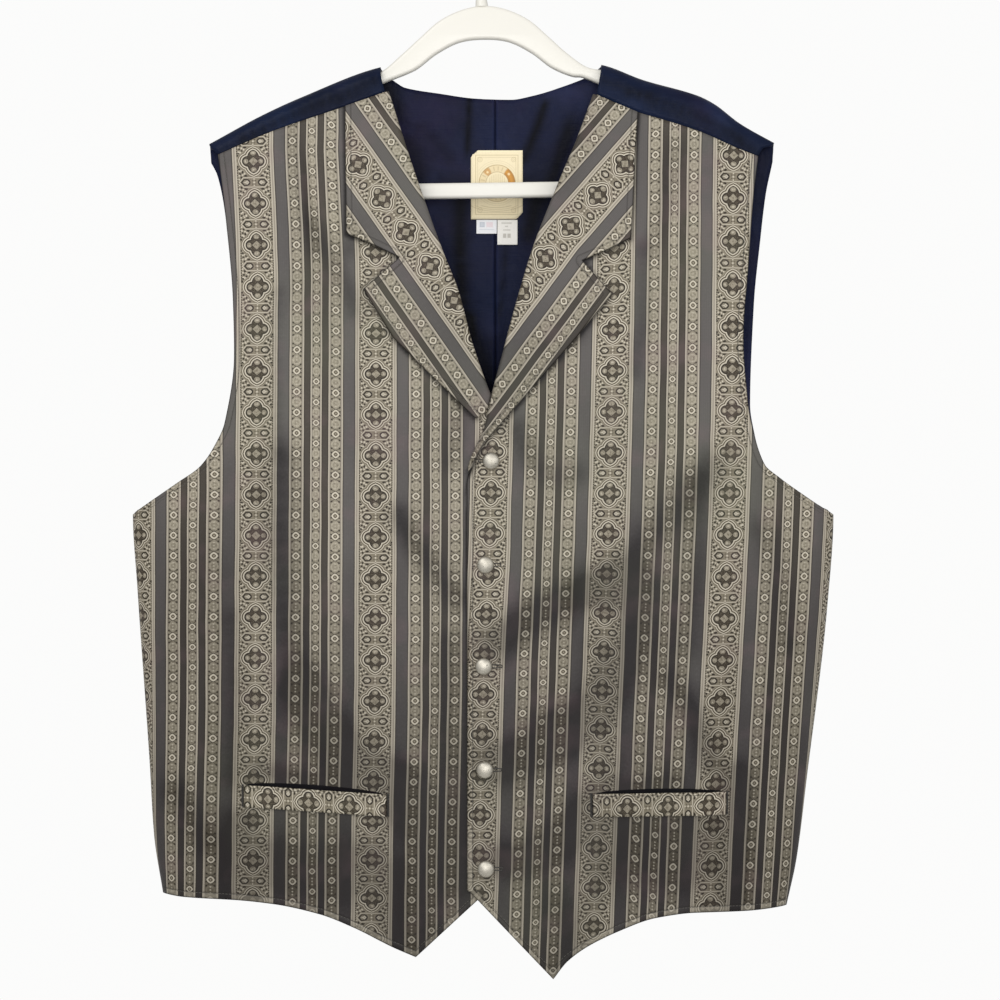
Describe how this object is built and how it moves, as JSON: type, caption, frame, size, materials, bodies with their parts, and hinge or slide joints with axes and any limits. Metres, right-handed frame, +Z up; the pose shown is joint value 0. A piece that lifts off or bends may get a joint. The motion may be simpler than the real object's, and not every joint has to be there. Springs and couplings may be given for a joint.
{
  "type": "western vest on a hanger",
  "caption": "Western vest in brocade with notched lapels, pocket welts and a satin back, buttoned up and hanging flat on a moulded hanger.",
  "frame": {"origin": "inside top of the hanger's hook, where a rail carries it", "axes": "+Z up, -Y out of the vest's front, +X towards the wearer's left side"},
  "size_m": [0.6305, 0.0979, 0.9466],
  "materials": {
    "brocade": "woven jacquard brocade with a soft satin sheen",
    "satin": "navy satin",
    "button_metal": "antiqued pewter tone",
    "label": "woven label",
    "tape": "woven tape",
    "plastic": "moulded, slightly glossy"
  },
  "bodies": {
    "root": {"right_front": "brocade", "left_front": "brocade", "right_lapel": "brocade", "left_lapel": "brocade", "right_welt": "brocade", "left_welt": "brocade", "back": "satin", "back_lining_right": "satin", "back_lining_left": "satin", "button_1": "button_metal", "button_2": "button_metal", "button_3": "button_metal", "button_4": "button_metal", "button_5": "button_metal", "neck_label": "label", "flag_tab": "tape", "size_tab": "tape", "hanger": "plastic", "hanger_hook": "plastic"}
  },
  "joints": []
}
